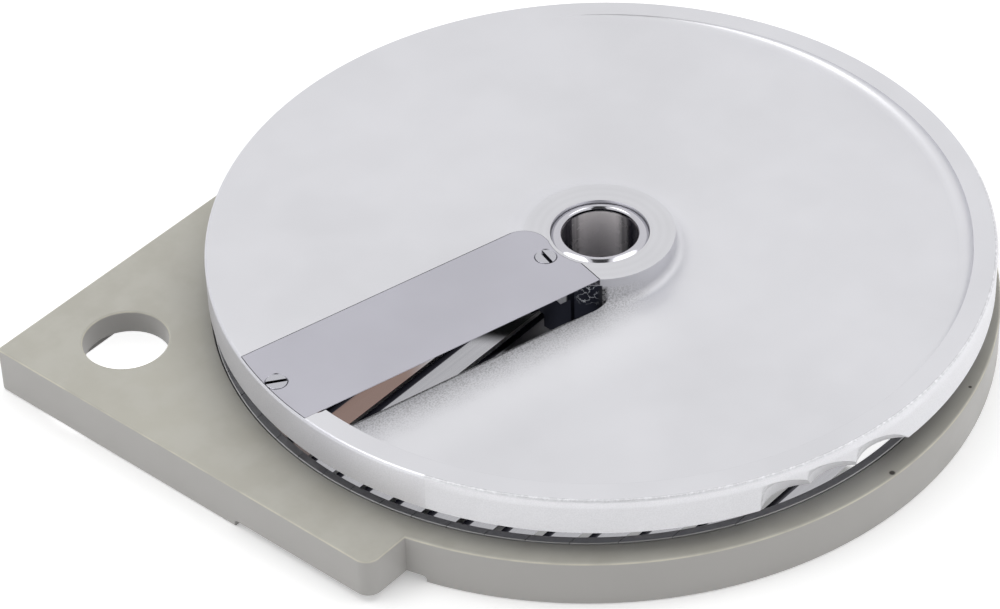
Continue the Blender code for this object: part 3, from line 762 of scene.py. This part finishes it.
def scallop_tool(number):
    """One finger scallop: an arc across the rim that starts at a fixed edge. Its span grows with a power of
    the depth below the scallop's top and its hollow grows evenly."""
    height = rim_height - scallop_top
    share = np.array((0.02, 0.07, 0.15, 0.25, 0.4, 0.55, 0.7, 0.85, 1, 1 + over / height))
    span, depth = scallop_span * share ** scallop_fade, scallop_depth * share
    chord = 2 * disc_radius * np.sin(span / 2)
    sagitta = depth - disc_radius * (1 - np.cos(span / 2))
    radius = (chord ** 2 / 4 + sagitta ** 2) / (2 * sagitta)
    middle = disc_radius * np.cos(span / 2) + radius - sagitta
    half = np.arcsin(chord / 2 / radius)
    turn = math.pi + half[:, None] * np.linspace(1, -1, 25)[None, :]
    x, y = middle[:, None] + radius[:, None] * np.cos(turn), radius[:, None] * np.sin(turn)
    far_x = ((disc_radius + over) * np.cos(span / 2))[:, None]
    far_y = ((disc_radius + over) * np.sin(span / 2))[:, None]
    x = np.concatenate((x, far_x, far_x), axis=1)
    y = np.concatenate((y, far_y, -far_y), axis=1)
    turn = scallop_starts[number] + span[:, None] / 2
    z = np.broadcast_to((-scallop_top - height * share)[:, None], x.shape)
    points = np.stack((x * np.cos(turn) - y * np.sin(turn), x * np.sin(turn) + y * np.cos(turn), z), axis=-1)
    tool = loft(f"scallop {number}", points)
    tool.modifiers.new("flat faces", "TRIANGULATE")
    return tool


def seat_bar():
    """The thick bar under the web that carries the blade."""
    outer, inner = -(skirt_inner_radius + disc_radius) / 2, -(bush_seat_radius + hub_radius) / 2
    corners = rectangle(outer, inner, -seat_front, -blade_back + seat_back_margin)
    return prism("seat bar", corners, -seat_height, -ramp_wall / 2)


def build_disc(surface):
    """The slicing disc, with its throat, blade seat, screw holes and finger scallops cut."""
    disc = disc_blank()
    set_normals(disc)
    carve(disc, [seat_bar()], "UNION")
    floor = -blade_thickness - gap
    tools = [
        prism("throat", throat_outline(), -hub_length - over, over),
        seat_slope_tool(),
        prism("blade pocket", blade_outline(blade_gap), floor, over),
    ]
    radius = screw_shank_radius + screw_clearance
    hole = np.array(((radius, -screw_length - gap), (radius, over)))
    tools += [plug("screw hole", hole, 32, (-distance, 0)) for distance, _ in (outer_screw, inner_screw)]
    tools += [scallop_tool(number) for number in range(len(scallop_starts))]
    reach, half = hub_radius + over, drive_slot_width / 2
    slot = rectangle(-reach, reach, -half, half)
    tools.append(prism("drive slot", slot, -hub_length - over, drive_slot_height - hub_length))
    carve(disc, tools)
    place(disc, disc_centre, disc_turn)
    finish_piece(disc, surface, "slicing_disc")


def build_bush(surface):
    """The hub's bush, turned from a profile: a quarter round of lip_round into the bore, then a cone that
    eases in from flat and falls by edge_height over edge_width: z = -edge_height s^1.25 with s from 0 to
    1."""
    lip_round = 0.9 * mm
    edge_width, edge_height = 1.6 * mm, bush_fall
    t = np.linspace(0, math.pi / 2, 17)
    s = np.linspace(0, 1, 17)
    lip = np.column_stack((bore_radius + lip_round * (1 - np.cos(t)), lip_round * (np.sin(t) - 1)))
    edge = np.column_stack((bush_radius - edge_width * (1 - s), -edge_height * s ** 1.25))
    profile = np.concatenate(([(bore_radius, -hub_length)], lip, edge, [(bush_radius, -hub_length)]))
    bush = turned("bush", profile, 256)
    place(bush, disc_centre, disc_turn)
    finish_piece(bush, surface, "hub_bush")


def build_blade(surface):
    """The blade: its outline carried through its thickness, with a hair-fine edge break and a ground
    underside."""
    outline = blade_outline()
    inner = np.copy(outline)
    at_end = np.hypot(outline[:, 0], outline[:, 1]) > blade_end_radius - blade_break
    at_back = outline[:, 1] > -blade_back - blade_break
    inner[:, 0] += np.where(at_end, blade_break, 0)
    inner[:, 1] += np.where(at_back, -blade_break, 0)
    ground = outline + np.where(outline[:, 1:] < -blade_lead + blade_break, (0, blade_bevel), (0, 0))
    levels = (
        (ground, -blade_thickness),
        (outline, -blade_edge_height),
        (outline, -blade_break),
        (inner, 0.0),
    )
    blade = loft("blade", np.array([at_height(rows, z) for rows, z in levels]))
    set_normals(blade)
    head = screw_head_radius + 0.2 * mm
    shank = screw_shank_radius + screw_clearance
    sink = np.array(((shank, -over), (shank, shank - head), (head, 0), (head + over, over)))
    places = [(-distance, 0) for distance, _ in (outer_screw, inner_screw)]
    carve(blade, [plug("countersink", sink, 64, centre) for centre in places])
    place(blade, disc_centre, disc_turn)
    finish_piece(blade, surface, "slicing_blade")


def build_screw(name, node, distance, slot_turn, surface):
    """A slotted countersunk screw with a softly rounded head edge."""
    head, shank = screw_head_radius - 0.12 * mm, screw_shank_radius
    soft = 0.2 * mm
    profile = np.array((
        (shank, -screw_length),
        (shank, shank - head),
        (head, -soft),
        (head - 0.3 * soft, -0.3 * soft),
        (head - soft, 0),
    ))
    screw = plug(name, profile, 64)
    set_normals(screw)
    half = screw_slot_width / 2
    slot = rectangle(-2 * head, 2 * head, -half, half)
    carve(screw, [prism("screw slot", slot, -screw_slot_depth, over)])
    place(screw, (-distance, 0, 0), slot_turn)
    place(screw, disc_centre, disc_turn)
    finish_piece(screw, surface, node)


# Knife grid


def plate_outline():
    """The plate from above: a round plate with a square-cut tab towards -X."""
    near_join = math.asin(tab_near_side / plate_radius)
    far_join = math.asin(tab_far_side / plate_radius)
    near = (-tab_reach + tab_near_corner, tab_near_side + tab_near_corner)
    far = (-tab_reach + tab_far_corner, tab_far_side - tab_far_corner)
    return np.concatenate((
        arc((0, 0), plate_radius, -math.pi - near_join, math.pi - far_join, 420),
        arc(far, tab_far_corner, math.pi / 2, math.pi, 12),
        arc(near, tab_near_corner, math.pi, 1.5 * math.pi, 20),
    ))


def inset(outline, distance):
    """An outline moved inwards: each point goes along the mean of its two edges' normals, lengthened so that
    both edges move by the distance."""
    ahead = np.roll(outline, -1, axis=0) - outline
    ahead /= np.linalg.norm(ahead, axis=1, keepdims=True)
    normal = np.column_stack((-ahead[:, 1], ahead[:, 0]))
    both = normal + np.roll(normal, 1, axis=0)
    both /= np.maximum((both ** 2).sum(axis=1, keepdims=True) / 2, 0.2)
    return outline + both * distance


def tab_hollow_outline():
    """The hollow under the tab's corner from above, between the round plate and the tab's walls."""
    left, far, near = tab_skirt - tab_reach, tab_far_side - tab_skirt, groove_far_side + tab_skirt
    near_join = math.pi - math.asin(near / plate_radius)
    far_join = math.pi - math.asin((far - tab_hollow_end) / plate_radius)
    round_wall = arc((0, 0), plate_radius, near_join, far_join, 48)
    r = tab_hollow_round
    return np.concatenate((
        round_wall,
        [(round_wall[-1, 0], far)],
        arc((left + r, far - r), r, math.pi / 2, math.pi, 12),
        arc((left + r, near + r), r, math.pi, 1.5 * math.pi, 12),
    ))


def build_plate(surface):
    """The plastic plate: its outline carried up with rounded edges, then the opening, the hollow under the
    tab, the finger hole and the groove cut."""
    outline = plate_outline()
    t = np.linspace(0, math.pi / 2, 5)
    round_in, round_up = plate_round * (1 - np.sin(t)), plate_round * (1 - np.cos(t))
    levels = list(zip(round_in, round_up)) + list(zip(round_in[::-1], plate_thickness - round_up[::-1]))
    plate = loft("plate", np.array([at_height(inset(outline, distance), z) for distance, z in levels]))
    set_normals(plate)

    ledge_top = ring_bottom - gap
    ledge = plate_bore_radius - ledge_width
    soft = 0.3 * mm
    opening = np.array((
        (ledge, -over),
        (ledge, ledge_top),
        (plate_bore_radius, ledge_top),
        (plate_bore_radius, plate_thickness - soft),
        (plate_bore_radius + 0.3 * soft, plate_thickness - 0.3 * soft),
        (plate_bore_radius + soft, plate_thickness),
        (plate_bore_radius + soft, plate_thickness + over),
    ))
    hole = finger_hole_radius
    flare = plate_round * (1 - np.cos(t))
    drop = plate_round * (1 - np.sin(t))
    finger_hole = np.concatenate((
        [(hole + plate_round, tab_hollow_height - over)],
        np.column_stack((hole + flare[::-1], tab_hollow_height + drop[::-1])),
        np.column_stack((hole + flare, plate_thickness - drop)),
        [(hole + plate_round, plate_thickness + over)],
    ))
    r = groove_round
    groove = np.concatenate((
        [(groove_near_side, -over)],
        arc((groove_near_side + r, groove_depth - r), r, math.pi, math.pi / 2, 8),
        arc((groove_far_side - r, groove_depth - r), r, math.pi / 2, 0, 8),
        [(groove_far_side, -over)],
    ))
    tools = [
        plug("opening", opening, 420),
        prism("tab hollow", tab_hollow_outline(), -over, tab_hollow_height),
        plug("finger hole", finger_hole, 128, finger_hole_place),
        carried_along_x("groove", groove, (-tab_reach - over, 0.0)),
    ]
    carve(plate, tools)
    place(plate, plate_centre)
    finish_piece(plate, surface, "grid_plate")


def build_ring(surface):
    """The ring, with a small lip over the knives' ends, a fine edge break on top and one slot for each knife,
    which narrows to a hairline above it."""
    soft = 0.16 * mm
    top = plate_thickness
    lip_low = knife_top + gap + 0.2 * mm
    lip_radius = ring_inner_radius - ring_lip
    profile = np.array((
        (ring_inner_radius, ring_bottom),
        (ring_inner_radius, lip_low),
        (lip_radius, lip_low + 0.3 * mm),
        (lip_radius, top - soft),
        (lip_radius + soft, top),
        (ring_outer_radius - soft, top),
        (ring_outer_radius, top - soft),
        (ring_outer_radius, ring_bottom),
    ))
    ring = turned("ring", profile, 420)
    set_normals(ring)
    reach = plate_radius
    slots = []
    for number in range(-knife_pairs, knife_pairs):
        y = (number + 0.5) * knife_pitch
        for half, low, high in (
            (knife_thickness / 2 + slot_clearance, slot_bottom, knife_top + gap),
            (hairline_width / 2, knife_top, top + over),
        ):
            slots.append(prism("knife slot", rectangle(-reach, reach, y - half, y + half), low, high))
    carve(ring, slots)
    place(ring, plate_centre)
    finish_piece(ring, surface, "knife_ring")


def build_knives(surface):
    """Each knife: its side outline (x, z) carried through its thickness, and drawn in to the ground edge on
    top. Its end tabs reach into the ring's wall, and below them it ends just inside the ring."""
    side = knife_thickness / 2
    edge = knife_edge_thickness / 2
    tab_bottom = slot_bottom + gap
    for number in range(2 * knife_pairs):
        offset = (number - knife_pairs + 0.5) * knife_pitch
        furthest = abs(offset) + side
        tab_end = math.sqrt((ring_outer_radius - gap) ** 2 - furthest ** 2)
        foot_end = math.sqrt((ring_inner_radius - gap) ** 2 - furthest ** 2)
        rings = []
        for y, top in (
            (side, knife_top - knife_edge_height),
            (edge, knife_top),
            (-edge, knife_top),
            (-side, knife_top - knife_edge_height),
        ):
            rings.append((
                (-tab_end, y, top),
                (-tab_end, y, tab_bottom),
                (-foot_end, y, tab_bottom),
                (-foot_end, y, knife_bottom),
                (foot_end, y, knife_bottom),
                (foot_end, y, tab_bottom),
                (tab_end, y, tab_bottom),
                (tab_end, y, top),
            ))
        knife = loft(f"cutting_knife_{number + 1:02d}", np.array(rings))
        place(knife, plate_centre + Vector((0, offset, 0)))
        finish_piece(knife, surface, f"knife_{number + 1:02d}")


# Studio


def floor_surface():
    """A pale matt floor. The camera sees it a little brighter than it is lit, quite white through the
    finger hole and the grid's front edge, and as it is lit under the throat. Polished metal that the camera
    looks at sees it as plain white, but not near the hub."""
    s = Shader("studio floor", (0.85, 0.85, 0.85), 0.9, 0.0)
    x, y, _ = s.split(s.place)
    path = s.add("ShaderNodeLightPath").outputs

    def away_from(centre_x, centre_y):
        """The distance from a place on the floor."""
        return s.length(s.math("SUBTRACT", x, centre_x), s.math("SUBTRACT", y, centre_y))

    past_throat = s.ramp(away_from(*throat_window), 58 * mm, 66 * mm)
    finger_x, finger_y = plate_centre[0] + finger_hole_place[0], finger_hole_place[1]
    finger = s.fade(away_from(finger_x, finger_y), 20 * mm, 26 * mm)
    in_plate = s.fade(away_from(plate_centre[0], plate_centre[1]), 97 * mm, 99 * mm)
    front_edge = s.all_of(s.ramp(y, -62 * mm, -70 * mm), s.ramp(x, 0.0, 3 * mm), in_plate)
    windows = s.math("MAXIMUM", finger, front_edge)
    bright = s.math("MULTIPLY_ADD", windows, 0.6, s.math("MULTIPLY", past_throat, 0.30))
    s.surface.inputs["Emission Color"].default_value = (1, 1, 1, 1)
    s.feed(s.surface, "Emission Strength", s.math("MULTIPLY", path["Is Camera Ray"], bright))
    white = s.add("ShaderNodeEmission")
    white.inputs["Color"].default_value = (1, 1, 1, 1)
    white.inputs["Strength"].default_value = 1.15
    direct = s.math("LESS_THAN", path["Diffuse Depth"], 0.5)
    outside = s.ramp(away_from(disc_centre[0], disc_centre[1]), 24 * mm, 30 * mm)
    mixed = s.add("ShaderNodeMixShader")
    s.feed(mixed, "0", s.all_of(path["Is Glossy Ray"], direct, outside))
    s.feed(mixed, "1", s.surface.outputs[0])
    s.feed(mixed, "2", white.outputs[0])
    s.feed(s.tree.nodes["Material Output"], "Surface", mixed.outputs[0])
    return s.material


def build_floor():
    """One flat square under the plate."""
    half = floor_half_width
    floor = new_piece("floor", at_height(rectangle(-half, half, -half, half), 0.0), [(0, 1, 2, 3)])
    floor.data.materials.append(floor_surface())


def soft_box(name, place_at, watts):
    """A large area lamp that faces the origin."""
    lamp = bpy.data.lights.new(name, "AREA")
    lamp.shape = "RECTANGLE"
    lamp.size = lamp.size_y = soft_box_side
    lamp.energy = watts
    made = bpy.data.objects.new(name, lamp)
    bpy.context.scene.collection.objects.link(made)
    made.location = place_at
    made.rotation_euler = (-place_at).to_track_quat("-Z", "Y").to_euler()


def build_light():
    """An even pale studio with a soft box high on each side. The studio is dark in a band that rises from
    where the camera stands to overhead, between the two soft boxes."""
    world = bpy.data.worlds.new("studio")
    bpy.context.scene.world = world
    world.use_nodes = True
    s = Nodes(world.node_tree)
    background = s.tree.nodes["Background"]
    background.inputs["Color"].default_value = (1, 1, 1, 1)
    x, y, z = s.split(s.add("ShaderNodeTexCoord").outputs["Generated"])
    away_x, away_y = math.sin(camera_heading), math.cos(camera_heading)
    towards = s.math("MULTIPLY_ADD", x, -away_x, s.math("MULTIPLY", y, -away_y))
    across = s.math("MULTIPLY_ADD", x, away_y, s.math("MULTIPLY", y, -away_x))
    sideways = s.math("ABSOLUTE", across)
    width = s.ramp(z, 0.55, 0.95, 0.32, 0.16)
    band = s.fade(s.math("DIVIDE", sideways, width), 0.9, 1.15)
    near_side = s.ramp(towards, -0.12, -0.04)
    level = s.math("MULTIPLY_ADD", s.all_of(band, near_side), -0.92, 0.99)
    seen = s.add("ShaderNodeLightPath").outputs["Is Camera Ray"]
    s.feed(background, "Strength", s.math("MAXIMUM", level, seen))
    reach = soft_box_distance * math.cos(soft_box_height)
    lamp_z = soft_box_distance * math.sin(soft_box_height)
    for name, bearing, watts in (("left soft box", 92 * degree, 2.6), ("right soft box", -92 * degree, 1.8)):
        heading = 1.5 * math.pi - camera_heading - bearing
        soft_box(name, Vector((reach * math.cos(heading), reach * math.sin(heading), lamp_z)), watts)


def build_camera():
    """The camera at the photograph's viewing angle."""
    data = bpy.data.cameras.new("camera")
    data.lens = lens_mm
    data.sensor_width = 36
    made = bpy.data.objects.new("camera", data)
    bpy.context.scene.collection.objects.link(made)
    tilt = Euler((math.pi / 2 - camera_dip, 0, -camera_heading)).to_matrix().to_4x4()
    made.matrix_world = Matrix.Translation(camera_place) @ tilt @ Matrix.Rotation(camera_roll, 4, "Z")
    bpy.context.scene.camera = made


bpy.context.scene.view_settings.view_transform = "Standard"
build_camera()
build_floor()
build_light()
build_disc(turned_aluminium())
build_bush(polished_steel())
build_blade(ground_steel())
screw_surface = screw_steel()
build_screw("outer_screw", "blade_screw_outer", *outer_screw, screw_surface)
build_screw("inner_screw", "blade_screw_inner", *inner_screw, screw_surface)
build_plate(grey_plastic())
build_ring(dull_steel())
build_knives(knife_steel())
